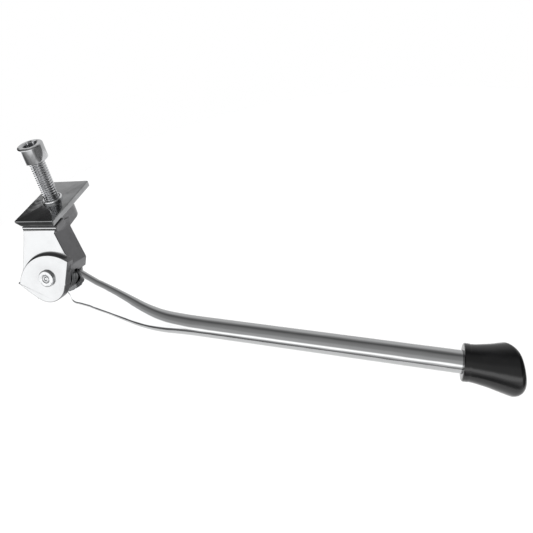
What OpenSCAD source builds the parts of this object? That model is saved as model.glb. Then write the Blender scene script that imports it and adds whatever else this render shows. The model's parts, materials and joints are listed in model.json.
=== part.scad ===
// Clamp-on side stand: a slanted bracket that a long cap screw and a top plate clamp to a
// frame's rear stays, and a tube leg with a rubber foot that folds about a headed rivet.
// +X points to the foot of the folded leg, +Y inboard, +Z up along the clamp screw.
// The origin is on the screw's axis at the bracket's clamping face.

/* [Clamp screw] */
// Thread diameter of the clamp screw
screw_d = 10; // [9:0.5:10.5]
// Length of the screw under its head
screw_length = 45; // [44:1:50]
// Height of the head's underside above the top plate
screw_exposed = 29.6; // [28:0.2:30]
// Diameter of the screw head
screw_head_d = 16.4; // [15:0.2:18]
// Height of the screw head
screw_head_h = 10.4; // [9:0.2:12]
// Width across flats of the hexagon socket
socket_flats = 8; // [7:0.5:9]

/* [Top plate] */
// Short side of the top plate, along X
plate_w = 29.2; // [28:0.2:32]
// Long side of the top plate, along Y
plate_l = 49.6; // [48:0.2:54]
// Thickness of the top plate
plate_t = 4; // [3:0.2:5]
// Offset of the plate's middle from the screw, towards the neck
plate_shift = 0.6; // [0:0.1:1]
// Outer diameter of the collar round the screw
collar_d = 13.6; // [13:0.2:16]
// Height of the collar above the plate
collar_h = 1.8; // [1:0.1:2.5]

/* [Bracket] */
// Slant of the neck from the vertical, in degrees
tilt = 20; // [17:0.5:23]
// Radius of the round back of the clamping head
head_r = 12; // [11.4:0.2:13]
// Depth of the clamping head below the plate
head_h = 11; // [10:0.5:12]
// Depth of the neck, across the slant
neck_depth = 18.6; // [18.2:0.1:19.4]
// Width of the neck where it leaves the head
neck_top_w = 23.4; // [22:0.2:25]
// How far the front boss stands proud of the neck
boss_proud = 3.8; // [3:0.2:4.4]

/* [Pivot] */
// Distance of the pivot below the neck's top edge
pivot_drop = 28.5; // [28.3:0.1:28.8]
// Offset of the pivot towards the foot
pivot_x = 4.8; // [4.4:0.1:5.2]
// Diameter of the rivet's shank
rivet_d = 8; // [7:0.5:8]
// Diameter of the rivet's head
rivet_head_d = 11; // [10:0.5:12]
// Radius of the detent disc
disc_r = 12.8; // [12.5:0.1:13.2]
// Thickness of the detent disc
disc_t = 3.5; // [3:0.1:3.6]

/* [Leg] */
// Outer diameter of the tube
tube_d = 12.4; // [12:0.2:13]
// Wall of the tube
tube_wall = 1.5; // [1:0.1:2]
// Thickness of the flattened end
blade_t = 5.8; // [5:0.1:5.8]
// Slope of the folded leg, in degrees
leg_slope = 4.4; // [4.2:0.1:4.8]
// Length of the straight tube
straight_l = 165; // [150:1:180]
// Angle through which the leg swings down
swing = 92; // [90:1:93]

/* [Foot] */
// Diameter of the foot at its mouth
foot_mouth_d = 20.2; // [19:0.2:21]
// Diameter of the foot at its sole
foot_sole_d = 28.4; // [28:0.2:30]
// Length of the foot along the tube
foot_l = 24.4; // [24:0.2:27]

/* [Hidden] */
$fn = 64;
CLEAR = 0.05;            // running clearance, radial
GAP = 0.3;               // room between moving outlines
BIG = 200;               // reach of the cutting blocks
NECK_Y = -26.6;          // neck's front face at its top edge
NECK_Z = -4.4;
NECK_X = 1.5;            // middle of the neck where it leaves the head
CHEEK_BACK = 4.5;        // inner side of the front cheek, from the neck's face
WASHER_T = 0.7;
disc_z = CHEEK_BACK + WASHER_T + 0.2;
blade_z = disc_z + disc_t;
rear_washer_z = blade_z + blade_t + 0.1;
SLOT_BACK = 16;          // inner side of the rear cheek
SLOT_R = disc_r + 0.9;   // room round the detent disc
EYE_R = 12.4;            // round end of the leg and of the rear cheek
leg_z = blade_z + blade_t / 2;
screw_top = plate_t + screw_exposed;
PLUNGER_R = 3;
PLUNGER_DROP = 0.5;      // travel of the plunger into the disc's flats
SPRING_R = 2.3;
SPRING_WIRE = 0.45;
BORE_TOP = 2;            // roof of the spring's bore, from the neck's top edge

// The leg's centre line: a straight head and the straight tube, joined by a bend at the knee
KNEE = [63.5, 31.9];     // where the two straight lines cross, from the pivot
KNEE_R = 84;
HEAD_SLOPE = 22.4;
LEAD = 43.9;             // length of the head's line before the knee
TAIL = 31.8;             // length of the tube's line after the knee
BLADE_W = 20.2;
RINGS = 18;
SIDES = 32;
KNEE_CUT = KNEE_R * tan((HEAD_SLOPE - leg_slope) / 2);
KNEE_ARC = KNEE_R * (HEAD_SLOPE - leg_slope) * PI / 180;
TAPER_L = LEAD + TAIL - 2 * KNEE_CUT + KNEE_ARC;
TUBE_START = KNEE + TAIL * heading(leg_slope);
FOOT_GRIP = 18.6;        // length of tube inside the foot
PLUG_D = tube_d - 0.6;   // steel disc that keeps the tube from cutting through the foot
PLUG_T = 1.5;

// Slanted frame of the neck: x along X, y down the slant, z inboard across it
module slanted() {
    translate([0, NECK_Y, NECK_Z])
        rotate([-(90 + tilt), 0, 0])
            children();
}

// The slanted frame with its origin on the pivot's axis
module at_pivot() {
    slanted() translate([pivot_x, pivot_drop, 0]) children();
}

// The frame of the straight tube: z along the tube, from its start to the foot
module at_tube() {
    at_pivot()
        translate([TUBE_START[0], TUBE_START[1], leg_z])
            rotate([0, 0, leg_slope])
                rotate([0, 90, 0])
                    children();
}

module disc(r, z, h) {
    translate([0, 0, z]) cylinder(r = r, h = h);
}

module ring(r_out, r_in, z, h) {
    difference() {
        disc(r_out, z, h);
        disc(r_in, z - 1, h + 2);
    }
}

// Polygon with its corner cut by a circle of the given centre and radius
module arc_topped(points, centre, r) {
    intersection() {
        polygon(points);
        translate(centre) circle(r = r, $fn = 160);
    }
}

// Front cheek seen along the pivot: flat sides, a round bottom and a large arc on top
module cheek_outline() {
    arc_topped([[-25, 4], [-25, -16], [18.6, -16], [17.2, -10.7], [11.9, 6.8], [-1.9, 4]],
               [3.2, 11.2], 26.5);
    arc_topped([[-24, 4], [-18, 8.7], [-8.3, 15.4], [-2, 18], [13, 12], [13, 2]],
               [3.2, 11.2], 27.6);
}

// Trims the cheek's lower corner to the round bottom
module cheek() {
    intersection() {
        cheek_outline();
        union() {
            translate([-1.9, 2.2]) circle(r = 14.4, $fn = 120);
            polygon([[-30, -20], [30, -20], [18, 2], [12.2, 5], [-1.9, 2.2], [-9.9, 14.2], [-30, 4]]);
        }
    }
}

// Neck seen along the pivot, flaring from the head down to the two stops
module neck_outline() {
    polygon([
        [NECK_X - neck_top_w / 2, -6], [NECK_X + neck_top_w / 2, -6],
        [NECK_X + neck_top_w / 2, 0],
        [21.4, 20.5], [19.8, 26.6],
        [pivot_x + 9, pivot_drop], [pivot_x - 10, pivot_drop + 9],
        [pivot_x - 18, pivot_drop + 8.7], [pivot_x - 24, pivot_drop + 4.2],
        [-15.6, 22], [NECK_X - neck_top_w / 2, 0]
    ]);
}

// Space round the detent disc, open below it
module disc_space() {
    circle(r = SLOT_R);
    polygon([[-30, 7.6], [-13, 3], [0, 0], [13.2, -3], [40, -3], [40, 40], [-30, 40]]);
}

// Space that the leg sweeps: its upper side is the folded stop, its left side the lower stop
module leg_space() {
    circle(r = EYE_R + GAP + 0.2);
    polygon([[-30, 7.6], [-23, 5], [-17.7, 3.1], [-12.3, -4.9], [0, 0],
             [0, -9.5], [30, 6.7], [40, 40], [-30, 40]]);
}

module clamping_head() {
    front = NECK_Y + 1.2;
    difference() {
        union() {
            translate([0, 0, -head_h]) cylinder(r = head_r, h = head_h);
            translate([0, 0, -head_h])
                linear_extrude(head_h)
                    polygon([[-head_r, 0], [NECK_X - neck_top_w / 2, front],
                             [NECK_X + neck_top_w / 2, front], [head_r, 0]]);
        }
        // the front of the head follows the slant of the neck
        slanted() translate([-BIG / 2, -BIG / 2, -BIG]) cube([BIG, BIG, BIG]);
    }
}

// Rounded bar under the front of the plate, on which the stay rests
module jaw_bar() {
    bar_w = neck_top_w + 2.4;
    bar_h = 4.2;
    bar_depth = 10.5;
    round_r = 1.6;
    ledge = 0.6;
    translate([NECK_X - neck_top_w / 2, 0, 0])
        rotate([90, 0, 90])
            linear_extrude(bar_w)
                union() {
                    translate([NECK_Y + ledge + round_r, -bar_h]) square([bar_depth - round_r, bar_h]);
                    translate([NECK_Y + ledge, -bar_h + round_r]) square([bar_depth, bar_h - 2 * round_r]);
                    translate([NECK_Y + ledge + round_r, -bar_h + round_r]) circle(r = round_r);
                    translate([NECK_Y + ledge + round_r, -round_r]) circle(r = round_r);
                }
}

module bracket_body() {
    color("gainsboro") difference() {
        union() {
            clamping_head();
            jaw_bar();
            difference() {
                slanted() linear_extrude(neck_depth) neck_outline();
                translate([-BIG / 2, -BIG / 2, 0]) cube([BIG, BIG, BIG]);
            }
            at_pivot() translate([0, 0, -boss_proud])
                linear_extrude(boss_proud + neck_depth - SLOT_BACK) cheek();
            at_pivot() disc(EYE_R, SLOT_BACK, neck_depth - SLOT_BACK);
        }
        // slot for the disc, and the slot for the leg behind it
        at_pivot() translate([0, 0, CHEEK_BACK])
            linear_extrude(blade_z - CHEEK_BACK) disc_space();
        at_pivot() translate([0, 0, blade_z - 0.1])
            linear_extrude(SLOT_BACK - blade_z + 0.1) leg_space();
        // rivet's bore through both cheeks
        at_pivot() disc(rivet_d / 2, -boss_proud - 1, neck_depth + boss_proud + 2);
        // bore of the detent's spring and plunger, drilled up from the slot
        detent_axis() disc(PLUNGER_R + CLEAR, BORE_TOP, pivot_drop - SLOT_R + 2);
        // thread of the clamp screw, drawn at the screw's outside
        translate([0, 0, -head_h - 1]) cylinder(d = screw_d + 2 * CLEAR, h = head_h + 2);
    }
}

// Axis of the detent: z runs down the slant from the neck's top edge to the pivot
module detent_axis() {
    slanted() translate([pivot_x, 0, disc_z + disc_t / 2]) rotate([-90, 0, 0]) children();
}

module top_plate() {
    heel_w = 4;
    heel_h = 2.8;
    color("dimgray") difference() {
        translate([0, plate_l / 2 - plate_shift, 0]) rotate([90, 0, 0])
            linear_extrude(plate_l)
                polygon([[-plate_w / 2 + heel_w, 0], [plate_w / 2, 0], [plate_w / 2, plate_t],
                         [-plate_w / 2, plate_t], [-plate_w / 2, heel_h]]);
        translate([0, 0, -1]) cylinder(r = collar_d / 2 - 0.8, h = plate_t + 2);
    }
}

// Pressed-in collar that guides the screw through the plate
module plate_collar() {
    color("silver") {
        difference() {
            union() {
                cylinder(r = collar_d / 2 - 0.8, h = plate_t);
                translate([0, 0, plate_t]) cylinder(d = collar_d, h = collar_h - 0.5);
                translate([0, 0, plate_t + collar_h - 0.5])
                    cylinder(d1 = collar_d, d2 = collar_d - 1, h = 0.5);
            }
            translate([0, 0, -1]) cylinder(d = screw_d + 4 * CLEAR, h = plate_t + collar_h + 2);
        }
    }
}

module clamp_screw() {
    chamfer = 0.8;
    socket_depth = 5.6;
    color("silver") difference() {
        union() {
            translate([0, 0, screw_top - screw_length + 1]) cylinder(d = screw_d, h = screw_length - 1);
            translate([0, 0, screw_top - screw_length]) cylinder(d1 = screw_d - 2, d2 = screw_d, h = 1);
            translate([0, 0, screw_top]) cylinder(d = screw_head_d, h = screw_head_h - chamfer);
            translate([0, 0, screw_top + screw_head_h - chamfer])
                cylinder(d1 = screw_head_d, d2 = screw_head_d - 2 * chamfer, h = chamfer);
        }
        translate([0, 0, screw_top + screw_head_h - socket_depth])
            cylinder(d = socket_flats / cos(30), h = socket_depth + 1, $fn = 6);
    }
}

module pivot_rivet() {
    head_t = 1.8;
    tail_t = 1.6;
    dimple_d = 4.4;
    tail_z = neck_depth + WASHER_T + 0.5;
    color("lightgray") at_pivot() difference() {
        union() {
            disc(rivet_d / 2, -boss_proud, boss_proud + tail_z);
            disc(rivet_head_d / 2, -boss_proud - head_t + 0.5, head_t - 0.5);
            translate([0, 0, -boss_proud - head_t])
                cylinder(d1 = rivet_head_d - 1.4, d2 = rivet_head_d, h = 0.5);
            disc(rivet_d / 2 + 1.4, tail_z, tail_t);
        }
        ring(dimple_d / 2, dimple_d / 2 - 0.7, -boss_proud - head_t - 1, 1.4);
    }
}

module rivet_washer() {
    color("silver") at_pivot() ring(7.5, rivet_d / 2, neck_depth, WASHER_T + 0.5);
}

module pivot_bush() {
    color("darkgoldenrod") at_pivot()
        ring(rivet_d / 2 + 1.5, rivet_d / 2 + CLEAR, disc_z, disc_t + blade_t);
}

module front_washer() {
    color("silver") at_pivot() ring(11, rivet_d / 2 + CLEAR, CHEEK_BACK + 0.1, WASHER_T);
}

module rear_washer() {
    color("silver") at_pivot() ring(9.5, rivet_d / 2 + CLEAR, rear_washer_z, SLOT_BACK - rear_washer_z - 0.1);
}

// Flats on the disc's rim face the plunger with the leg folded and with it down
module detent_disc() {
    flat_at = disc_r + 0.2 - PLUNGER_DROP - 0.1;
    color("silver") at_pivot() difference() {
        ring(disc_r, rivet_d / 2 + 1.5, disc_z, disc_t);
        for (turn = [0, swing])
            rotate([0, 0, -turn]) translate([-BIG / 2, -flat_at - BIG, 0]) cube([BIG, BIG, BIG / 2]);
        drive_pin_set();
    }
}

module drive_pin_set() {
    pin_d = 3;
    for (place = [[-7.5, 3], [2, 9.6]])
        translate([place[0], place[1], 0]) disc(pin_d / 2, disc_z, disc_t + blade_t);
}

module drive_pins() {
    color("gray") at_pivot() drive_pin_set();
}

module detent_plunger() {
    tip_z = pivot_drop - disc_r - 0.2;
    length = 6;
    color("silver") detent_axis() {
        disc(PLUNGER_R, tip_z - length, length - 0.6);
        translate([0, 0, tip_z - 0.6]) cylinder(r1 = PLUNGER_R, r2 = PLUNGER_R - 0.6, h = 0.6);
    }
}

// Spring drawn as its separate turns, joined by a thin core tube
module detent_spring() {
    turns = 6;
    bottom = pivot_drop - disc_r - 6.3;
    rise = bottom - BORE_TOP - 0.1 - 2 * SPRING_WIRE;
    color("gray") detent_axis() union() {
        ring(SPRING_R, SPRING_R - SPRING_WIRE, BORE_TOP + 0.1, rise + 2 * SPRING_WIRE);
        for (turn = [0 : turns])
            translate([0, 0, BORE_TOP + 0.1 + SPRING_WIRE + turn * rise / turns])
                rotate_extrude() translate([SPRING_R, 0]) circle(r = SPRING_WIRE, $fn = 16);
    }
}

function heading(angle) = [cos(angle), sin(angle)];
function smooth(t) = t * t * (3 - 2 * t);
function mix(a, b, t) = a + (b - a) * t;

// Slope of the centre line at a distance along it, and the place there
function slope_at(s) =
    max(leg_slope, HEAD_SLOPE - max(0, s - LEAD + KNEE_CUT) / KNEE_R * 180 / PI);
function place_at(s) =
    let (bend = LEAD - KNEE_CUT, angle = slope_at(s))
    KNEE - LEAD * heading(HEAD_SLOPE) + min(s, bend) * heading(HEAD_SLOPE)
    + KNEE_R * [sin(HEAD_SLOPE) - sin(angle), cos(angle) - cos(HEAD_SLOPE)]
    + max(0, s - bend - KNEE_ARC) * heading(leg_slope);

// A ring is slot-shaped, square to the centre line, and opens from the blade to the round tube
function ring_point(s, turn) =
    let (t = smooth(s / TAPER_L),
         thick = mix(blade_t - 0.2, tube_d - 0.3, t) / 2,
         flat = mix(BLADE_W, tube_d - 0.3, t) / 2 - thick,
         across = thick * cos(turn) + (cos(turn) > 0 ? flat : -flat),
         place = place_at(s) + across * [-sin(slope_at(s)), cos(slope_at(s))])
    [place[0], place[1], leg_z + thick * sin(turn)];

// The taper from the flattened end to the tube, one closed skin over its rings
module leg_taper() {
    points = [for (i = [0 : RINGS], j = [0 : SIDES - 1])
        ring_point(TAPER_L * i / RINGS, (j + 0.5) * 360 / SIDES)];
    walls = [for (i = [0 : RINGS - 1], j = [0 : SIDES - 1])
        let (next = (j + 1) % SIDES)
        [i * SIDES + j, (i + 1) * SIDES + j, (i + 1) * SIDES + next, i * SIDES + next]];
    ends = [[for (j = [0 : SIDES - 1]) j], [for (j = [SIDES - 1 : -1 : 0]) RINGS * SIDES + j]];
    polyhedron(points, concat(walls, ends), convexity = 4);
}

// Flattened end: a round eye about the pivot, a heel that meets the lower stop, two straight edges
module blade_outline() {
    circle(r = EYE_R);
    polygon([[0, -9], [29.6, 7.1], [22.3, 26.2], [6.2, 22.4], [4.2, 17], [-4, 11.7]]);
}

module leg_tube() {
    color("silver") difference() {
        union() {
            at_pivot() translate([0, 0, blade_z]) linear_extrude(blade_t) blade_outline();
            at_pivot() leg_taper();
            at_tube() translate([0, 0, -2]) cylinder(d = tube_d, h = straight_l + 2);
        }
        at_tube() translate([0, 0, 2]) cylinder(d = tube_d - 2 * tube_wall, h = straight_l);
        at_pivot() disc(rivet_d / 2 + 1.5, blade_z - 1, blade_t + 2);
        at_pivot() drive_pin_set();
    }
}

module foot_washer() {
    color("gray") at_tube() translate([0, 0, straight_l]) cylinder(d = PLUG_D, h = PLUG_T);
}

// Half space beyond the sole, which is level once the leg has swung down
module beyond_sole() {
    reach = straight_l - FOOT_GRIP + foot_l;
    at_pivot()
        translate([TUBE_START[0] + reach * cos(leg_slope), TUBE_START[1] + reach * sin(leg_slope), leg_z])
            rotate([0, 0, 90 - swing])
                rotate([0, 90 - tilt, 0])
                    translate([-BIG / 2, -BIG / 2, 0]) cube([BIG, BIG, BIG]);
}

module rubber_foot() {
    mouth_r = foot_mouth_d / 2;
    sole_r = foot_sole_d / 2;
    start = straight_l - FOOT_GRIP;
    long_side = foot_l + 6;
    edge = 5;
    color([0.12, 0.12, 0.12]) difference() {
        at_tube() translate([0, 0, start]) rotate_extrude() {
            polygon([[0, 0], [mouth_r - 0.8, 0], [mouth_r, 0.8], [mouth_r, 3.2], [mouth_r + 0.4, 7],
                     [mouth_r + 1.3, 12], [mouth_r + 3, 17.5], [sole_r, long_side - edge - 3],
                     [sole_r, long_side - edge], [sole_r - edge, long_side], [0, long_side]]);
            translate([sole_r - edge, long_side - edge]) circle(r = edge);
        }
        at_tube() translate([0, 0, start - 1]) cylinder(d = tube_d, h = FOOT_GRIP + 1);
        at_tube() translate([0, 0, straight_l - 0.01]) cylinder(d = PLUG_D, h = PLUG_T + 0.01);
        beyond_sole();
    }
}

bracket_body();
top_plate();
plate_collar();
clamp_screw();
pivot_rivet();
rivet_washer();
pivot_bush();
front_washer();
detent_disc();
drive_pins();
rear_washer();
detent_plunger();
detent_spring();
leg_tube();
foot_washer();
rubber_foot();
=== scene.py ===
import json
import math

import bmesh
import bpy
import numpy as np
from bpy.props import FloatProperty, FloatVectorProperty, IntProperty, PointerProperty
from mathutils import Matrix, Vector


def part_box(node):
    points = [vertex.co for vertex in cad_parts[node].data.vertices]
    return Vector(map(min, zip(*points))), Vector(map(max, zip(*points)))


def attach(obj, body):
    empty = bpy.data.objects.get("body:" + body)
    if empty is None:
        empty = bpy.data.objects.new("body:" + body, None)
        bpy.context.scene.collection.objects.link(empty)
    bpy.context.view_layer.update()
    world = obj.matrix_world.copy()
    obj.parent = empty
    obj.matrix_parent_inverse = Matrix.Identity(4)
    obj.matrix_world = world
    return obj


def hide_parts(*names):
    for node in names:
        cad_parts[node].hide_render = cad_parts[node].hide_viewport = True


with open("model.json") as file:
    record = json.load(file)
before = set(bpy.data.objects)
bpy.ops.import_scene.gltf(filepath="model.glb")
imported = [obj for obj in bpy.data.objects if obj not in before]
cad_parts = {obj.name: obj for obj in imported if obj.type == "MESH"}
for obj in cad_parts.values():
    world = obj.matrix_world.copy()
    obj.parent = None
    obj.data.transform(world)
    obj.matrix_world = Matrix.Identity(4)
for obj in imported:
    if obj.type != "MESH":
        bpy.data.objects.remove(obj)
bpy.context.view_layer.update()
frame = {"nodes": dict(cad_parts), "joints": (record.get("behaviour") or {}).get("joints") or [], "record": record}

bl_info = {
    "name": "Clamp-on kickstand",
    "version": (1, 0, 0),
    "blender": (4, 5, 0),
    "location": "3D View > Sidebar > Kickstand",
    "description": "Builds the finished surfaces of a clamp-on kickstand round its packed frame",
    "category": "Mesh",
}

MM = 0.001
TURN = 2 * math.pi

# The pivot's axis and the slanted frame of the neck come from the leg's joint: ACROSS lies along
# X, DOWN points down the slant and INWARD into the neck. PIVOT lies on the neck's front face,
# NECK_FACE millimetres in front of the joint and PIVOT_DROP down the slant from the neck's top.
HINGE = next(j for j in frame["joints"] if j["name"] == "leg_fold")
INWARD = np.array(HINGE["axis"], float)
INWARD = INWARD / np.linalg.norm(INWARD)
ACROSS = np.array([1.0, 0.0, 0.0])
DOWN = np.cross(INWARD, ACROSS)
NECK_FACE, PIVOT_DROP = 10, 28.5
PIVOT = np.array(HINGE["pos_m"], float) - NECK_FACE * MM * INWARD
SOLE = next(m for m in frame["record"]["mounts"] if m["name"] == "sole")

# Layers along the pivot's axis, in millimetres from the neck's front face
BOSS_PROUD = 3.8
DISC_Z, DISC_T, DISC_R = 5.4, 3.5, 12.8
BLADE_Z, BLADE_T = 8.9, 5.8
LEG_Z = BLADE_Z + BLADE_T / 2
SWING = math.radians(92)

# Holes along the pivot's axis, each (across, down, radius): the leg's eye and the two drive pins
EYE_HOLE = (0, 0, 5.5)
PIN_HOLES = [(-7.5, 3, 1.5), (2, 9.6, 1.5)]

# Radii of the collar's bore and of the plate's hole round the screw
COLLAR_BORE, PLATE_HOLE = 5.15, 6.0

# The leg's centre line from the pivot: a straight head, a bend at the knee, the straight tube
KNEE, KNEE_R, LEAD, TAIL = np.array([63.5, 31.9]), 84.0, 43.9, 31.8
HEAD_SLOPE, LEG_SLOPE = math.radians(22.4), math.radians(4.4)
BLADE_W, TUBE_D, TUBE_L = 20.2, 12.4, 165.0
KNEE_CUT = KNEE_R * math.tan((HEAD_SLOPE - LEG_SLOPE) / 2)
KNEE_ARC = KNEE_R * (HEAD_SLOPE - LEG_SLOPE)
TAPER_L = LEAD + TAIL - 2 * KNEE_CUT + KNEE_ARC
FOOT_AT, FOOT_L = 146.4, 24.4


def at_pivot(points):
    """Millimetres along X, down the slant and inward from the pivot, to metres in the frame."""
    points = np.asarray(points, float) * MM
    return PIVOT + points[..., :1] * ACROSS + points[..., 1:2] * DOWN + points[..., 2:] * INWARD


def heading(angle):
    return np.array([math.cos(angle), math.sin(angle)])


TUBE_START = KNEE + TAIL * heading(LEG_SLOPE)
TUBE_DIR = math.cos(LEG_SLOPE) * ACROSS + math.sin(LEG_SLOPE) * DOWN
TUBE_SIDE = -math.sin(LEG_SLOPE) * ACROSS + math.cos(LEG_SLOPE) * DOWN
TUBE_ORIGIN = at_pivot([TUBE_START[0], TUBE_START[1], LEG_Z])

# An axis to turn a profile about: origin, first and second direction across, direction along
SCREW_AXIS = (np.zeros(3), np.array([1.0, 0, 0]), np.array([0, 1.0, 0]), np.array([0, 0, 1.0]))
PIVOT_AXIS = (PIVOT, ACROSS, DOWN, INWARD)
DETENT_AXIS = (at_pivot([0, -PIVOT_DROP, DISC_Z + DISC_T / 2]), INWARD, ACROSS, DOWN)
FOOT_AXIS = (TUBE_ORIGIN + FOOT_AT * MM * TUBE_DIR, TUBE_SIDE, INWARD, TUBE_DIR)

# Limits for cleaning a mesh: distance of doubles and of slivers, height above which slivers are
# joined, and the angles below which faces count as flat and above which edges are rounded
DOUBLE, THIN, SLIVER, SLIVERS_ABOVE = 1e-6, 1e-7, 0.25 * MM, -3 * MM
FLAT_BELOW, EDGE_ABOVE = math.radians(0.4), math.radians(24)

# The camera: place in metres, azimuth, elevation and roll in degrees, focal length in widths of
# the sensor, and how far the picture's middle is shifted
CAMERA_AT = (0.21642, -0.25584, 0.15759)
CAMERA_TURN = (25.087, 34.139, 14.343)
CAMERA_SENSOR, CAMERA_FOCAL, CAMERA_SHIFT = 36, 536.86 / 533, (0.1215, -0.0370)

# The floor: its middle in metres, and in millimetres its thickness and its gap under the sole
FLOOR_AT, FLOOR_T, FLOOR_GAP = (0.13, 0.29), 5, 4

# The overhead light: strength, and in degrees its spread and how far it leans from straight down
SUN_POWER, SUN_SPREAD, SUN_LEAN = 2.55, 100, -12

# Brightness of the studio's walls by their angle in degrees about X: 0 is level in front, 90
# overhead, 180 level behind, and what lies below level is negative
WALLS = (
    (-180, .70), (-138, .70), (-60, .75), (-36, .35), (-31, .28), (-20, .38), (-13, .85), (-8, .97),
    (-3, 1.7), (0, 2.15), (12, 2.15), (17, 1.15), (23, .64), (46, .58), (60, .40), (85, .32),
    (96, .24), (107, .14), (119, .20), (131, .41), (144, .68), (160, .74))


# ---- surfaces -------------------------------------------------------------------------------

def smooth(t):
    """Zero below 0, one above 1, and 3t^2 - 2t^3 between."""
    t = np.clip(t, 0, 1)
    return t * t * (3 - 2 * t)


def mix(a, b, t):
    return a + (b - a) * t


def curve_through(x_known, y_known, x):
    """Cubic Hermite curve through known points, with the mean slope of its neighbours at each."""
    x_known, y_known = np.asarray(x_known, float), np.asarray(y_known, float)
    slope = np.gradient(y_known, x_known)
    x = np.clip(x, x_known[0], x_known[-1])
    i = np.clip(np.searchsorted(x_known, x, side="right") - 1, 0, len(x_known) - 2)
    step = x_known[i + 1] - x_known[i]
    t = (x - x_known[i]) / step
    return ((1 + 2 * t) * (1 - t) ** 2 * y_known[i] + t * (1 - t) ** 2 * step * slope[i]
            + t * t * (3 - 2 * t) * y_known[i + 1] + t * t * (t - 1) * step * slope[i + 1])


def rounded(corners, radii, closed=False, steps=5):
    """Chain of (radius, height) corners with an arc of a given radius for each inner corner."""
    corners = np.asarray(corners, float)
    if closed:
        corners = np.vstack([corners[-1], corners, corners[0]])
    chain = [] if closed else [corners[:1]]
    for before, at, after, r in zip(corners[:-2], corners[1:-1], corners[2:], radii):
        if r == 0:
            chain.append(at[None])
            continue
        a, b = before - at, after - at
        a, b = a / np.linalg.norm(a), b / np.linalg.norm(b)
        half = 0.5 * math.acos(np.clip(a @ b, -1, 1))
        centre = at + (a + b) / np.linalg.norm(a + b) * r / math.sin(half)
        start, end = at + a * r / math.tan(half) - centre, at + b * r / math.tan(half) - centre
        span = math.pi - 2 * half
        t = np.linspace(0, 1, steps + 1)[:, None]
        arc = (np.sin((1 - t) * span) * start + np.sin(t * span) * end) / math.sin(span)
        chain.append(arc + centre)
    if not closed:
        chain.append(corners[-1:])
    return np.vstack(chain)


def turned(radii, heights, axis, columns=96):
    """Grid of points at a radius and height for each row and angle, where a point is
    origin + r (cos a x + sin a y) + h z."""
    origin, x, y, z = axis
    angle = np.linspace(0, TURN, columns, endpoint=False)
    radii, heights = np.broadcast_arrays(np.asarray(radii, float), np.asarray(heights, float))
    if radii.ndim == 1:
        radii, heights = radii[:, None], heights[:, None]
    ring = np.cos(angle)[:, None] * x + np.sin(angle)[:, None] * y
    return origin + MM * (radii[..., None] * ring + heights[..., None] * z)


def skin(name, grid, loop=False, caps=False):
    """Quads between neighbouring rows of a grid whose columns close; loop joins the last row to the
    first and caps closes both end rows. Poles are merged and faces point outwards."""
    rows, columns = grid.shape[:2]
    index = np.arange(rows * columns).reshape(rows, columns)
    low = index if loop else index[:-1]
    high = np.roll(index, -1, 0) if loop else index[1:]
    quads = np.stack([low, np.roll(low, -1, 1), np.roll(high, -1, 1), high], -1).reshape(-1, 4)
    faces = quads.tolist()
    if caps:
        faces += [index[0][::-1].tolist(), index[-1].tolist()]
    mesh = bpy.data.meshes.new(name)
    mesh.from_pydata(grid.reshape(-1, 3), [], faces)
    return clean(name, mesh)


def clean(name, mesh, flat_angle=0.0):
    """Merges doubles, joins faces that lie in one plane if asked, and turns the faces outwards."""
    bm = bmesh.new()
    bm.from_mesh(mesh)
    bmesh.ops.remove_doubles(bm, verts=bm.verts, dist=DOUBLE)
    if flat_angle:
        # slivers under the plate would tear the rounding of the edges there
        near_plate = [v for v in bm.verts if v.co.z > SLIVERS_ABOVE]
        bmesh.ops.remove_doubles(bm, verts=near_plate, dist=SLIVER)
    bmesh.ops.dissolve_degenerate(bm, edges=bm.edges, dist=THIN)
    if flat_angle:
        bmesh.ops.dissolve_limit(bm, angle_limit=flat_angle, verts=bm.verts, edges=bm.edges)
    bmesh.ops.recalc_face_normals(bm, faces=bm.faces)
    if bm.calc_volume(signed=True) < 0:
        bmesh.ops.reverse_faces(bm, faces=bm.faces)
    bm.to_mesh(mesh)
    bm.free()
    piece = bpy.data.objects.new(name, mesh)
    bpy.context.scene.collection.objects.link(piece)
    return piece


def bevelled_copy(name, node, width):
    """A merged copy of a CAD node with its flat faces joined and its edges rounded, kept in the
    node's box."""
    piece = clean(name, frame["nodes"][node].data.copy(), FLAT_BELOW)
    bevel = piece.modifiers.new("edges", "BEVEL")
    bevel.width, bevel.segments = width, 3
    bevel.limit_method, bevel.angle_limit = "ANGLE", EDGE_ABOVE
    bevel.use_clamp_overlap = False
    bake(piece)
    points = np.empty(3 * len(piece.data.vertices), np.float32)
    piece.data.vertices.foreach_get("co", points)
    low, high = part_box(node)
    points = np.clip(points.reshape(-1, 3), low, high)
    piece.data.vertices.foreach_set("co", points.ravel())
    even = piece.modifiers.new("even faces", "WEIGHTED_NORMAL")
    even.mode, even.weight = "FACE_AREA", 100
    return piece


def bake(piece):
    """Puts the result of a piece's modifiers in its mesh."""
    made = bpy.data.meshes.new_from_object(
        piece.evaluated_get(bpy.context.evaluated_depsgraph_get()))
    piece.modifiers.clear()
    old, piece.data = piece.data, made
    bpy.data.meshes.remove(old)


def bored(piece, axis, holes, low, high):
    """Cuts round holes, each (x, y, radius) across the axis, from one height to another."""
    cutters = []
    for x, y, r in holes:
        grid = turned([0, r, r, 0], [low, low, high, high], axis, 48)
        cutter = skin("cutter", grid + MM * (x * axis[1] + y * axis[2]))
        cutters.append(cutter)
        cut = piece.modifiers.new("bore", "BOOLEAN")
        cut.operation, cut.solver, cut.object = "DIFFERENCE", "EXACT", cutter
    bake(piece)
    for cutter in cutters:
        bpy.data.objects.remove(cutter)
    return piece


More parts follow.
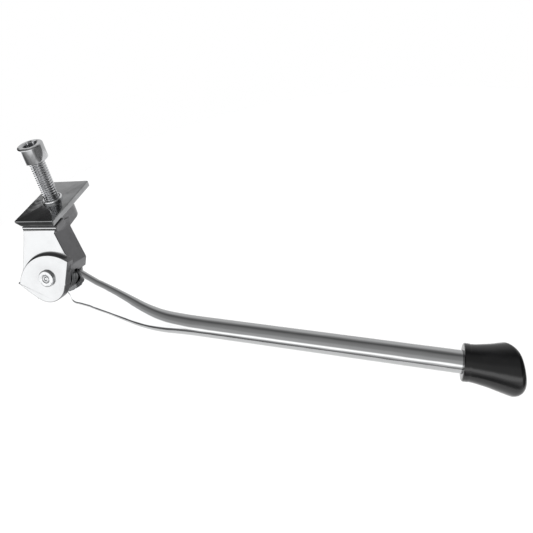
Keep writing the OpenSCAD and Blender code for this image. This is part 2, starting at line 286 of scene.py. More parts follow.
def finished(piece, body, nodes, material, sharp=32):
    """Gives a piece its shading, finish, body and the CAD nodes it stands for."""
    mesh = piece.data
    mesh.polygons.foreach_set("use_smooth", np.ones(len(mesh.polygons), bool))
    mesh.set_sharp_from_angle(angle=math.radians(sharp))
    mesh.materials.clear()
    mesh.materials.append(material)
    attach(piece, body)
    if nodes:
        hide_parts(*nodes)
    return piece


# ---- finishes -------------------------------------------------------------------------------

class Graph:
    """Node tree of one material or world, with short calls to add and join nodes."""

    def __init__(self, tree):
        self.tree = tree

    def add(self, kind, values=None, **settings):
        node = self.tree.nodes.new(kind)
        for key, value in settings.items():
            setattr(node, key, value)
        for key, value in (values or {}).items():
            if isinstance(value, bpy.types.NodeSocket):
                self.tree.links.new(value, node.inputs[key])
            else:
                node.inputs[key].default_value = value
        return node

    def math(self, operation, a, b=0.0):
        return self.add("ShaderNodeMath", {0: a, 1: b}, operation=operation).outputs[0]

    def product(self, value, *factors):
        for factor in factors:
            value = self.math("MULTIPLY", value, factor)
        return value

    def less(self, value, share):
        """The value less a share of it."""
        return self.math("MULTIPLY", value, self.math("SUBTRACT", 1.0, share))

    def span(self, value, low, high, to_low=0.0, to_high=1.0, kind="SMOOTHSTEP"):
        return self.add("ShaderNodeMapRange", {
            "Value": value, "From Min": low, "From Max": high, "To Min": to_low, "To Max": to_high,
        }, interpolation_type=kind).outputs[0]

    def noise(self, vector, scale, detail, rough, distort=0.0):
        return self.add("ShaderNodeTexNoise", {
            "Vector": vector, "Scale": scale, "Detail": detail, "Roughness": rough,
            "Distortion": distort}).outputs["Fac"]

    def stretched(self, scale=(1, 1, 1), turn=(0, 0, 0)):
        coords = self.add("ShaderNodeTexCoord").outputs["Object"]
        return self.add("ShaderNodeMapping", {
            "Vector": coords, "Scale": scale, "Rotation": turn}).outputs[0]

    def blend(self, factor, a, b):
        node = self.add("ShaderNodeMix", data_type="RGBA")
        for socket, value in zip((node.inputs[0], node.inputs[6], node.inputs[7]), (factor, a, b)):
            if isinstance(value, bpy.types.NodeSocket):
                self.tree.links.new(value, socket)
            else:
                socket.default_value = value if isinstance(value, (int, float)) else (*value, 1)
        return node.outputs[2]

    def bump(self, height, depth, distance, under=None):
        values = {"Height": height, "Strength": depth, "Distance": distance}
        if under is not None:
            values["Normal"] = under
        return self.add("ShaderNodeBump", values).outputs[0]


def surface(name, metallic, **fixed):
    """A new material, its graph and its shader, with the even values on the shader itself."""
    material = bpy.data.materials.new(name)
    material.use_nodes = True
    graph = Graph(material.node_tree)
    shader = material.node_tree.nodes["Principled BSDF"]
    shader.inputs["Metallic"].default_value = metallic
    for key, value in fixed.items():
        shader.inputs[key.replace("_", " ")].default_value = value
    return material, graph, shader


def connect(graph, shader, colour, roughness, normal):
    for socket, value in (("Base Color", colour), ("Roughness", roughness), ("Normal", normal)):
        graph.tree.links.new(value, shader.inputs[socket])


def plated(name, bright, dull, rough, grain, ripple, ripple_depth, turn=(0, 0, 0), scratch=0.12):
    """Plated metal: haze and wear shift colour and roughness, and fine grain and slow ripples bend
    reflections."""
    material, graph, shader = surface(name, metallic=1.0)
    even = graph.stretched()
    haze = graph.noise(even, scale=55, detail=6, rough=0.6)
    specks = graph.noise(even, scale=900, detail=2, rough=0.5)
    fine = graph.noise(graph.stretched(grain, turn), scale=1.0, detail=5, rough=0.65)
    slow = graph.noise(graph.stretched(ripple, turn), scale=1.0, detail=2, rough=0.5, distort=0.3)
    wear = graph.product(graph.span(haze, 0.35, 0.75), 0.6)
    worn = graph.math("MAXIMUM", wear, graph.span(specks, 0.68, 0.8))
    colour = graph.blend(worn, bright, dull)
    mottle = graph.math("ADD", haze, graph.product(fine, 0.5))
    roughness = graph.span(mottle, 0.4, 1.1, to_low=rough[0], to_high=rough[1])
    normal = graph.bump(slow, 1.0, ripple_depth)
    normal = graph.bump(fine, scratch, 0.03 * MM, normal)
    connect(graph, shader, colour, roughness, normal)
    return material


def bracket_metal(look):
    """Polished plating on the faces square to the pivot, dull as-cast skin on every other face."""
    material, graph, shader = surface("bracket_chrome", metallic=1.0)
    facing = graph.add("ShaderNodeTexCoord").outputs["Normal"]
    square = graph.add("ShaderNodeVectorMath", {0: facing, 1: tuple(INWARD)},
                       operation="DOT_PRODUCT").outputs["Value"]
    polished = graph.span(graph.math("ABSOLUTE", square), 0.90, 0.99)
    even = graph.stretched()
    haze = graph.noise(even, scale=60, detail=6, rough=0.6)
    sand = graph.noise(even, scale=1500, detail=3, rough=0.6)
    slow = graph.noise(even, scale=130, detail=2, rough=0.5)
    wear = graph.span(haze, 0.35, 0.75)
    bright = graph.blend(wear, look.bright_chrome, [0.93 * c for c in look.bright_chrome])
    cast = graph.blend(wear, look.cast_skin, [0.72 * c for c in look.cast_skin])
    rough_cast = graph.span(sand, 0.3, 0.7, to_low=0.30, to_high=0.42)
    rough_bright = graph.span(haze, 0.3, 0.8, to_low=0.10, to_high=0.20)
    roughness = graph.math("ADD", graph.product(polished, rough_bright),
                           graph.less(rough_cast, polished))
    sanded = graph.span(polished, 0, 1, to_low=0.5, to_high=0.05)
    normal = graph.bump(slow, 0.25, 0.2 * MM)
    normal = graph.bump(sand, sanded, 0.06 * MM, normal)
    connect(graph, shader, graph.blend(polished, cast, bright), roughness, normal)
    return material


def rubber(look):
    """Satin moulded rubber: faint dust and mould haze, fine pebble, and a slow sag in the gloss."""
    material, graph, shader = surface("black_rubber", metallic=0.0, Specular_IOR_Level=0.5)
    even = graph.stretched()
    dust = graph.noise(even, scale=70, detail=6, rough=0.65)
    pebble = graph.noise(even, scale=2200, detail=3, rough=0.6)
    slow = graph.noise(even, scale=90, detail=2, rough=0.5)
    colour = graph.blend(graph.span(dust, 0.45, 0.8), look.rubber,
                         [2.2 * c + 0.004 for c in look.rubber])
    mottle = graph.math("ADD", dust, graph.product(pebble, 0.3))
    roughness = graph.span(mottle, 0.4, 1.0, to_low=0.10, to_high=0.20)
    normal = graph.bump(slow, 0.35, 0.6 * MM)
    normal = graph.bump(pebble, 0.25, 0.06 * MM, normal)
    connect(graph, shader, colour, roughness, normal)
    return material


# Plated finishes: material, colour setting, share of that colour in clean and in worn metal, least
# and greatest roughness, stretch of the grain and of the ripples, ripple depth, and what differs
PLATED = {
    # the collar's chrome is the bright chrome at nearly twice its brightness: a painted highlight, since the
    # collar's sides mirror dark walls
    "bright": ("collar_chrome", "bright_chrome", 1.9, 1.5, (0.08, 0.2),
               (700, 700, 700), (200, 200, 200), 0.2 * MM, {}),
    "plate": ("plate_chrome", "dark_chrome", 1, 0.55, (0.05, 0.16),
              (250, 900, 900), (90, 60, 90), 0.4 * MM, {"scratch": 0.2}),
    "screw": ("screw_chrome", "screw_chrome", 1, 0.7, (0.06, 0.16),
              (400, 400, 1500), (160, 160, 60), 0.4 * MM, {}),
    "steel": ("rivet_steel", "steel", 1, 0.7, (0.16, 0.32),
              (900, 900, 900), (220, 220, 220), 0.3 * MM, {"scratch": 0.3}),
    # the spring steel is the steel at about a quarter of its brightness: painted shade for the washers, detent
    # disc, drive pins, plunger and spring, which sit in the slot and inside the bracket
    "spring": ("spring_steel", "steel", 0.28, 0.16, (0.25, 0.42),
               (900, 900, 900), (220, 220, 220), 0.2 * MM, {"scratch": 0.3}),
    "bronze": ("bush_bronze", "bronze", 1, 0.6, (0.25, 0.45),
               (900, 900, 900), (220, 220, 220), 0.2 * MM, {"scratch": 0.3}),
    "tube": ("tube_chrome", "tube_chrome", 1, 0.9, (0.03, 0.09),
             (60, 1600, 1600), (26, 170, 170), 0.18 * MM, {"turn": (0, 0.08, 0), "scratch": 0.06}),
}
FINISHES = {}


def finish(name):
    """Makes each finish once and returns it by name."""
    if name not in FINISHES:
        look = bpy.context.scene.kickstand_look
        if name in PLATED:
            material, setting, clean_share, worn_share, *rest, more = PLATED[name]
            clean_metal, worn_metal = (
                [share * c for c in getattr(look, setting)] for share in (clean_share, worn_share))
            FINISHES[name] = plated(material, clean_metal, worn_metal, *rest, **more)
        else:
            FINISHES[name] = {"bracket": bracket_metal, "rubber": rubber}[name](look)
    return FINISHES[name]


# ---- settings -------------------------------------------------------------------------------

def colour(name, description, value):
    return FloatVectorProperty(name=name, description=description, subtype="COLOR", size=3,
                               min=0, max=1, default=value)


def length(name, description, value, low, high):
    return FloatProperty(name=name, description=description, unit="LENGTH", default=value,
                         min=low, max=high, precision=5)


class KickstandLook(bpy.types.PropertyGroup):
    """Colours of the kickstand's finishes and of the floor."""
    bright_chrome: colour("Bright chrome", "Polished faces of the bracket and the collar",
                          (0.435, 0.44, 0.445))
    cast_skin: colour("Cast skin", "Dull side faces of the bracket", (0.19, 0.19, 0.195))
    dark_chrome: colour("Dark chrome", "Top plate", (0.32, 0.325, 0.33))
    screw_chrome: colour("Screw chrome", "Clamp screw", (0.56, 0.565, 0.575))
    tube_chrome: colour("Tube chrome", "Leg", (0.50, 0.505, 0.51))
    steel: colour("Steel", "Rivet, washers and detent disc", (0.66, 0.67, 0.68))
    bronze: colour("Bronze", "Pivot bush", (0.62, 0.44, 0.22))
    rubber: colour("Rubber", "Foot", (0.0025, 0.0025, 0.0028))
    floor: colour("Floor", "Floor and background", (0.92, 0.92, 0.92))


class KickstandSizes(bpy.types.PropertyGroup):
    """Sizes that belong to the finished surfaces and not to the frame."""
    bracket_edge: length("Bracket edge", "Rounding of the bracket's edges", 0.0005, 0.0001, 0.0006)
    plate_edge: length("Plate edge", "Rounding of the plate's edges", 0.00055, 0.0001, 0.00058)
    boss_fillet: length("Boss fillet", "Radius of the fillet round the front boss",
                        0.0015, 0.001, 0.003)
    thread_pitch: length("Thread pitch", "Rise of the clamp screw's thread in one turn",
                         0.0017, 0.001, 0.002)
    thread_depth: length("Thread depth", "Depth of the thread", 0.0010, 0.0004, 0.0012)
    lip: length("Foot lip", "Height of the lip at the foot's mouth", 0.00022, 0.0, 0.0005)
    sole_edge: length("Sole edge", "Rounding of the foot's sole", 0.0024, 0.001, 0.004)
    floor_radius: length("Floor radius", "Radius of the floor", 0.62, 0.4, 3.0)
    spring_turns: IntProperty(name="Spring turns", description="Turns of the detent spring",
                              default=6, min=4, max=9)


# ---- pieces ---------------------------------------------------------------------------------

class BuildBracket(bpy.types.Operator):
    """Bracket: the frame's own shape with rounded edges, and the fillet round the front boss"""
    bl_idname = "kickstand.bracket"
    bl_label = "Bracket"

    def execute(self, context):
        sizes = context.scene.kickstand_sizes
        piece = bevelled_copy("bracket", "bracket_body", sizes.bracket_edge)
        finished(piece, "bracket", ["bracket_body"], finish("bracket"), sharp=80)
        fillet = skin("boss_fillet", self.fillet(sizes.boss_fillet / MM), caps=True)
        finished(fillet, "bracket", [], finish("bracket"))
        return {"FINISHED"}

    def fillet(self, radius):
        """Concave quarter circle carried along the boss's top arc. Its radius eases to nothing at
        the outer end, and each line of it ends where it crosses the neck's sloping side."""
        centre, arc_r = np.array([3.2, 11.2]), 26.5
        side_a, side_b = np.array([8.4, -28.5]), np.array([16.6, -8.0])
        eased, least, in_boss, in_neck, past_side = 0.22, 0.05, 0.5, 0.4, 0.35
        t = np.linspace(0, 1, 72)[:, None]
        quarter = np.linspace(0, math.pi / 2, 9)
        size = radius * smooth(t / eased) + least
        out = np.hstack([size * (1 - np.sin(quarter)), 0 * t - in_boss, 0 * t - in_boss, size])
        up = np.hstack([size * (1 - np.cos(quarter)), size, 0 * t - in_neck, 0 * t - in_neck])
        reach = arc_r + out
        # the angle at which a circle of this reach crosses the neck's side
        along = (side_b - side_a) / np.linalg.norm(side_b - side_a)
        foot = side_a - centre - ((side_a - centre) @ along) * along
        gap = np.linalg.norm(foot)
        turn = np.arccos(np.clip((gap + past_side) / reach, -1, 1))
        last = math.atan2(foot[1], foot[0]) - turn
        first = -math.pi + 0.22
        angle = mix(first, last, t)
        return at_pivot(np.stack([centre[0] + reach * np.cos(angle),
                                  centre[1] + reach * np.sin(angle), -up], -1))


class BuildPlate(bpy.types.Operator):
    """Top plate with rounded edges, and the collar that guides the screw"""
    bl_idname = "kickstand.plate"
    bl_label = "Top plate"

    def execute(self, context):
        sizes = context.scene.kickstand_sizes
        plate = skin("top_plate_skin", self.surface(sizes.plate_edge / MM), loop=True)
        finished(plate, "plate", ["top_plate"], finish("plate"))
        wide, _, top = (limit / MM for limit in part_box("plate_collar")[1])
        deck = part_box("top_plate")[1][2] / MM
        chain = rounded([(COLLAR_BORE, 0), (PLATE_HOLE, 0), (PLATE_HOLE, deck), (wide, deck),
                         (wide, top), (COLLAR_BORE, top)],
                        [0.2, 0.2, 0, 0.1, 0.6, 0.5], closed=True)
        collar = skin("collar", turned(chain[:, 0], chain[:, 1], SCREW_AXIS), loop=True)
        # the collar's brightened chrome is a painted highlight
        finished(collar, "plate", ["plate_collar"], finish("bright"))
        return {"FINISHED"}

    def surface(self, edge):
        """Rows of one closed outline, a rectangle with small round corners: from the hole's lower
        rim out over the flat and the slanted heel, round the outer edges and back over the top.
        The heel's height is the heel's slope times the distance past the crease."""
        low, high = (np.array(corner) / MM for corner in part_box("top_plate"))
        half, middle, top = (high[:2] - low[:2]) / 2, (high[:2] + low[:2]) / 2, high[2]
        corner, heel, rise = 0.8, 4.0, 2.8
        inner = half - corner
        crease = middle[0] - half[0] + heel
        long_way = np.linspace(-1, 1, 15)[1:-1, None] * inner[1]
        short_way = np.linspace(0.4 * heel - half[0] + heel, 0.94 * inner[0], 9)
        short_way = np.concatenate([[heel - half[0]], short_way])[:, None]
        arc = np.linspace(0, math.pi / 2, 5)[:, None]
        flat, normals = [], []
        for quarter, (sx, sy) in enumerate(((1, 1), (-1, 1), (-1, -1), (1, -1))):
            way = quarter * math.pi / 2 + arc
            outward = np.hstack([np.cos(way), np.sin(way)])
            flat.append(inner * (sx, sy) + corner * outward)
            normals.append(outward)
            if quarter % 2 == 0:
                along, out = short_way[::-sx], (0.0, sy)
                side = np.hstack([along, 0 * along + sy * half[1]])
            else:
                along, out = long_way[::-sy], (sx, 0.0)
                side = np.hstack([0 * along + sx * half[0], along])
            flat.append(side)
            normals.append(np.broadcast_to(out, side.shape))
        flat, normals = np.vstack(flat) + middle, np.vstack(normals)
        ring = PLATE_HOLE * flat / np.linalg.norm(flat, axis=1)[:, None]

        def row(inset, lift, under):
            place = flat - inset * normals
            bottom = rise / heel * np.maximum(crease - place[:, 0], 0)
            return np.column_stack([place, (bottom if under else top) + lift + 0 * bottom])

        q = np.linspace(0, math.pi / 2, 5)
        rows = [np.column_stack([ring, 0 * ring[:, 0]])]
        flat_part = row(edge, 0, True)
        flat_part[:, 0] = np.maximum(flat_part[:, 0], crease)
        flat_part[:, 2] = 0
        rows.append(flat_part)
        rows += [row(edge * (1 - math.sin(a)), edge * (1 - math.cos(a)), True) for a in q]
        rows += [row(edge * (1 - math.cos(a)), -edge * (1 - math.sin(a)), False) for a in q]
        rows.append(np.column_stack([ring, top + 0 * ring[:, 0]]))
        return MM * np.stack(rows)


class BuildScrew(bpy.types.Operator):
    """Clamp screw in one skin: hexagon socket, chamfered head and helical thread to the tip"""
    bl_idname = "kickstand.screw"
    bl_label = "Clamp screw"

    def execute(self, context):
        sizes = context.scene.kickstand_sizes
        (_, _, tip), (head_r, _, top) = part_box("clamp_screw")
        tip, head_r, top = tip / MM, head_r / MM, top / MM
        piece = skin("clamp_screw_skin", self.surface(
            tip, head_r, top, sizes.thread_pitch / MM, sizes.thread_depth / MM))
        finished(piece, "screw", ["clamp_screw"], finish("screw"))
        return {"FINISHED"}

    def surface(self, tip, head_r, top, pitch, depth):
        """Rows run from the socket's floor over the head and down the shank. The socket's radius is
        half the width across flats over the cosine of the angle to the nearest flat; the thread's
        radius falls by a clipped triangle wave of height over pitch plus turn, and eases out at
        the head and the tip."""
        columns, key_half, mouth_r, socket_l, head_l = 96, 4.0, 4.75, 5.6, 10.4
        thread_r, tip_r, steep, crest, run_out = 5.0, 4.0, 2.1, 0.85, 1.6
        turn = np.linspace(0, 1, columns, endpoint=False)
        flat = key_half / np.cos((turn * TURN + math.pi / 6) % (math.pi / 3) - math.pi / 6)
        one = np.ones(columns)
        floor, under = top - socket_l, top - head_l
        mouth = np.maximum(flat, mouth_r)
        rows = [(0 * one, floor - 0.6), (0.97 * flat, floor), (flat, floor + 0.25),
                (flat, top - 0.55), (0.5 * (flat + mouth), top - 0.2), (mouth, top)]
        rim = rounded([(5.2, top), (head_r, top), (head_r, under), (5.3, under),
                       (4.9, under - 0.6)], [0.9, 0.45, 0.25], steps=6)
        rows += [(r * one, h) for r, h in rim[1:]]
        radii = np.array([r for r, _ in rows])
        heights = np.array([h for _, h in rows])[:, None] * one
        z = np.arange(under - 0.7, tip, -pitch / 12)
        wave = np.abs(2 * ((z[:, None] / pitch + turn) % 1) - 1)
        cut = depth * np.clip(steep * wave - crest, 0, 1)
        cut = cut * smooth((under - 0.5 - z) / run_out)[:, None]
        shank = np.minimum(thread_r - cut, tip_r + (z - tip)[:, None])
        radii = np.vstack([radii, shank, 0 * one])
        heights = np.vstack([heights, z[:, None] * one, tip * one])
        return turned(radii, heights, SCREW_AXIS, columns)


class BuildPivot(bpy.types.Operator):
    """Rivet with its dimpled head, washers, and the detent disc with its flats"""
    bl_idname = "kickstand.pivot"
    bl_label = "Pivot"

    def execute(self, context):
        head_l, gap = 1.8, 0.02
        face, seat = -BOSS_PROUD - head_l, -BOSS_PROUD - gap
        back, end = self.depth_of("rivet_washer")[1], self.depth_of("pivot_rivet")[1]
        rivet = rounded([(0, face + 0.75), (1.15, face + 0.6), (1.35, face + gap),
                         (2.0, face + gap), (2.35, face + 0.7), (2.9, face), (5.5, face),
                         (5.5, seat), (4, seat), (4, back), (5.4, back), (5.4, end), (0, end)],
                        [0.2, 0.25, 0.25, 0.2, 0.3, 0.75, 0.1, 0, 0, 0, 0.8])
        piece = skin("rivet", turned(rivet[:, 0], rivet[:, 1], PIVOT_AXIS, 72))
        finished(piece, "bracket", ["pivot_rivet"], finish("steel"), sharp=40)
        # the front and rear washers take the darkened spring steel: painted shade in the slot
        for node, r_out, r_in, kind, slot in (
                ("rivet_washer", 7.5, 4.0, "steel", "rivet_steel"),
                ("front_washer", 11.0, 4.05, "spring", "rivet_steel"),
                ("rear_washer", 9.5, 4.05, "spring", "spring_steel")):
            low, high = self.depth_of(node)
            edge = 0.35 * (high - low)
            chain = rounded([(r_in, low), (r_out, low), (r_out, high), (r_in, high)],
                            [0.1, edge, edge, 0.1], closed=True)
            washer = skin(node + "_skin", turned(chain[:, 0], chain[:, 1], PIVOT_AXIS), loop=True)
            finished(washer, "bracket", [node], finish(kind))
        disc = skin("detent_disc_skin", self.disc(), loop=True)
        disc = bored(disc, PIVOT_AXIS, PIN_HOLES, DISC_Z - 1, DISC_Z + DISC_T + 1)
        finished(disc, "leg", ["detent_disc"], finish("spring"))
        return {"FINISHED"}

    def depth_of(self, node):
        """Least and greatest depth of a node along the pivot's axis, in millimetres from PIVOT."""
        mesh = frame["nodes"][node].data
        points = np.empty(3 * len(mesh.vertices), np.float32)
        mesh.vertices.foreach_get("co", points)
        depth = (points.reshape(-1, 3) - PIVOT) @ INWARD / MM
        return float(depth.min()), float(depth.max())

    def disc(self):
        """Ring with rounded rim. The rim's radius is the least of the full radius and each flat's
        distance over the cosine of the angle from it."""
        columns, bore, flat_at, near = 180, EYE_HOLE[2], DISC_R - 0.4, 0.8
        angle = np.linspace(0, TURN, columns, endpoint=False)
        rim = np.full(columns, DISC_R)
        for way in (-math.pi / 2, -math.pi / 2 - SWING):
            facing = np.cos(angle - way)
            rim = np.where(facing > near, np.minimum(rim, flat_at / np.maximum(facing, near)), rim)
        chain = rounded([(bore, 0), (DISC_R, 0), (DISC_R, DISC_T), (bore, DISC_T)],
                        [0.1, 0.35, 0.35, 0.1], closed=True)
        share = (chain[:, :1] - bore) / (DISC_R - bore)
        radii = bore + share * (rim - bore)
        return turned(radii, DISC_Z + chain[:, 1:] + 0 * rim, PIVOT_AXIS, columns)


class BuildDetent(bpy.types.Operator):
    """Detent plunger, and the coil spring above it"""
    bl_idname = "kickstand.detent"
    bl_label = "Detent"

    def execute(self, context):
        gap, plunger_r, plunger_l, spring_top = 0.2, 3, 6, 2.1
        tip = PIVOT_DROP - DISC_R - gap
        back = tip - plunger_l
        chain = rounded([(0, back), (plunger_r, back), (plunger_r, tip), (0, tip)], [0.3, 0.6])
        plunger = skin("plunger", turned(chain[:, 0], chain[:, 1], DETENT_AXIS, 48))
        finished(plunger, "plunger", ["detent_plunger"], finish("spring"))
        turns = context.scene.kickstand_sizes.spring_turns
        spring = skin("spring", self.coil(turns, spring_top, back), caps=True)
        finished(spring, "bracket", ["detent_spring"], finish("spring"))
        return {"FINISHED"}

    def coil(self, turns, low, high):
        """Circle of wire carried along a helix: the centre turns at a fixed radius while it drops,
        slower over the first and last turn so that the ends lie closed."""
        wire, radius = 0.45, 2.3
        t = np.linspace(0, 1, 36 * turns)
        drop = mix(low + wire, high - wire, 0.85 * t + 0.15 * smooth(t))
        angle = TURN * turns * t
        round_wire = np.linspace(0, TURN, 12, endpoint=False)
        reach = radius + wire * np.cos(round_wire)
        height = drop[:, None] + wire * np.sin(round_wire)
        origin, x, y, z = DETENT_AXIS
        ring = np.cos(angle)[:, None] * x + np.sin(angle)[:, None] * y
        return origin + MM * (reach[None, :, None] * ring[:, None, :] + height[..., None] * z)


class BuildLeg(bpy.types.Operator):
    """Leg in one skin: round eye, heel, flattened blade, bend and tube"""
    bl_idname = "kickstand.leg"
    bl_label = "Leg"

    def execute(self, context):
        piece = skin("leg", self.surface(), caps=True)
        piece = bored(piece, PIVOT_AXIS, [EYE_HOLE, *PIN_HOLES], BLADE_Z - 1, BLADE_Z + BLADE_T + 1)
        finished(piece, "leg", ["leg_tube"], finish("tube"), sharp=40)
        return {"FINISHED"}

    def surface(self):
        """A slot-shaped ring carried along the centre line. Along the head the ring's two edges
        follow the eye's circle, the top edge and the heel; beyond it width and thickness ease to
        the tube's."""
        start = KNEE - LEAD * heading(HEAD_SLOPE)
        along_u, across_u = heading(HEAD_SLOPE), heading(HEAD_SLOPE + math.pi / 2)
        head_end, middle = start @ along_u, start @ across_u
        eye_r, heel, heel_l = 12.4, 0.9, 16
        a = np.concatenate([-eye_r * np.cos(np.linspace(0.02, math.pi / 2, 26)),
                            np.linspace(0, head_end, 46)[1:]])
        circle = np.sqrt(np.maximum(eye_r ** 2 - a ** 2, 0))
        top = curve_through([-eye_r, 0, 10.4, 18, head_end],
                            [-8.3, -7.9, -6.9, -5.9, middle - BLADE_W / 2], a)
        top = np.minimum(top, -circle)
        top = np.where(a < 0, -circle, top)
        low = curve_through([0, 5, 9.4, 11.6, 13.4, 15.4, 20, head_end],
                            [eye_r, 12.9, 13.9, 15.4, 17.7, 18.3, 17.5,
                             middle + BLADE_W / 2 + heel], a)
        low = np.where(a < 0, circle, low)
        # beyond the head: places and slopes along the bend and the tube
        s = np.concatenate([np.linspace(0, TAPER_L, 90)[1:],
                            TAPER_L + np.linspace(0, TUBE_L, 60)[1:]])
        bend = LEAD - KNEE_CUT
        slope = np.maximum(LEG_SLOPE, HEAD_SLOPE - np.maximum(0, s - bend) / KNEE_R)
        place = (start + np.minimum(s, bend)[:, None] * along_u
                 + KNEE_R * np.stack([math.sin(HEAD_SLOPE) - np.sin(slope),
                                      np.cos(slope) - math.cos(HEAD_SLOPE)], -1)
                 + np.maximum(0, s - bend - KNEE_ARC)[:, None] * heading(LEG_SLOPE))
        eased = smooth(s / TAPER_L)
        half = mix(BLADE_W, TUBE_D, eased) / 2
        extra = heel * (1 - smooth(s / heel_l))
        thick = np.concatenate([np.full(len(a), BLADE_T), mix(BLADE_T, TUBE_D, eased)]) / 2
        down = np.stack([-np.sin(slope), np.cos(slope)], -1)
        centre = np.vstack([a[:, None] * along_u + ((top + low) / 2)[:, None] * across_u,
                            place + extra[:, None] / 2 * down])
        half = np.concatenate([(low - top) / 2, half + extra / 2])
        slope = np.concatenate([np.full(len(a), HEAD_SLOPE), slope])
        # each round edge ends square to the flat, and two more points keep the flat's shading even
        quarter = np.linspace(-math.pi / 2, math.pi / 2, 21)
        turn = np.concatenate([quarter, [math.pi / 2] * 2, quarter + math.pi, [-math.pi / 2] * 2])
        inset = np.concatenate([np.ones(21), [0.94, -0.94], -np.ones(21), [-0.94, 0.94]])
        edge = np.minimum(thick, half)[:, None]
        across = edge * np.cos(turn) + inset * (half[:, None] - edge)
        sideways = np.stack([-np.sin(slope), np.cos(slope)], -1)
        flat = centre[:, None, :] + across[..., None] * sideways[:, None, :]
        depth = LEG_Z + thick[:, None] * np.sin(turn)
        return at_pivot(np.concatenate([flat, depth[..., None]], -1))


class BuildFoot(bpy.types.Operator):
    """Flared rubber foot with its lip, oblique sole and the blind bore that grips the tube"""
    bl_idname = "kickstand.foot"
    bl_label = "Foot"

    def execute(self, context):
        sizes = context.scene.kickstand_sizes
        piece = skin("rubber_foot_skin", self.surface(sizes.lip / MM, sizes.sole_edge / MM))
        finished(piece, "leg", ["rubber_foot"], finish("rubber"), sharp=50)
        return {"FINISHED"}

    def surface(self, lip, edge):
        """A flare turned about the tube. Its radius follows the height; the side ends one edge
        radius short of the oblique sole, a quarter circle joins the two, and shallow rings run in
        to the middle of the sole."""
        columns, mouth_r, mouth_edge, grip_r, grip_l = 120, 10.1, 0.9, 6.22, 20.1
        swell, swell_at, groove_l, groove_wave = 1.17, 0.36, 0.35, 1.1
        angle = np.linspace(0, TURN, columns, endpoint=False)
        sole = np.array(SOLE["axis"], float)
        lean = np.array([sole @ TUBE_SIDE, sole @ INWARD]) / (sole @ TUBE_DIR)
        away = -(lean[0] * np.cos(angle) + lean[1] * np.sin(angle))

        def flare(h):
            body = curve_through([0, 3.2, 7, 12, 17.5, 24, 32],
                                 [mouth_r, mouth_r, 10.45, 11.2, 12.6, 14.1, 14.2], h)
            return body - lip * smooth((h - 2.6) / 0.8) * (1 - smooth((h - 5) / 6))

        corner = edge * (1 + swell * smooth(away / swell_at))
        side = np.full(columns, 13.8)
        for _ in range(6):
            end = FOOT_L + away * side - corner
            side = flare(end)
        t = np.linspace(0, 1, 40)[:, None]
        wall_h = mix(mouth_edge, end, t)
        wall_r = flare(wall_h)
        q = np.linspace(0, math.pi / 2, 12)[1:, None]
        edge_r = side - corner * (1 - np.cos(q))
        edge_h = FOOT_L + away * edge_r - corner * (1 - np.sin(q))
        inner = (side - corner) * np.linspace(0.97, 0, 24)[:, None]
        groove = groove_l * smooth(np.cos(inner / groove_wave) * 2 - 0.6)
        inner_h = FOOT_L + away * inner - groove * smooth(side - corner - inner)
        q = np.linspace(0, math.pi / 2, 6)[:, None]
        lip_r = mouth_r - mouth_edge * (1 - np.sin(q)) + 0 * angle
        lip_h = mouth_edge * (1 - np.cos(q)) + 0 * angle
        bore_r = np.array([[0.0], [6.0], [grip_r], [grip_r], [6.6]]) + 0 * angle
        bore_h = np.array([[grip_l], [grip_l], [19.8], [0.5], [0.0]]) + 0 * angle
        return turned(np.vstack([bore_r, lip_r, wall_r, edge_r, inner]),
                      np.vstack([bore_h, lip_h, wall_h, edge_h, inner_h]), FOOT_AXIS, columns)


class DressSmallParts(bpy.types.Operator):
    """Finishes for the frame's own parts that stay as they are: bush, drive pins and foot washer"""
    bl_idname = "kickstand.small_parts"
    bl_label = "Small parts"

    def execute(self, context):
        for node, kind in (("pivot_bush", "bronze"), ("drive_pins", "spring"),
                           ("foot_washer", "steel")):
            for slot in frame["nodes"][node].material_slots:
                slot.material = finish(kind)
        return {"FINISHED"}


# ---- stage ----------------------------------------------------------------------------------

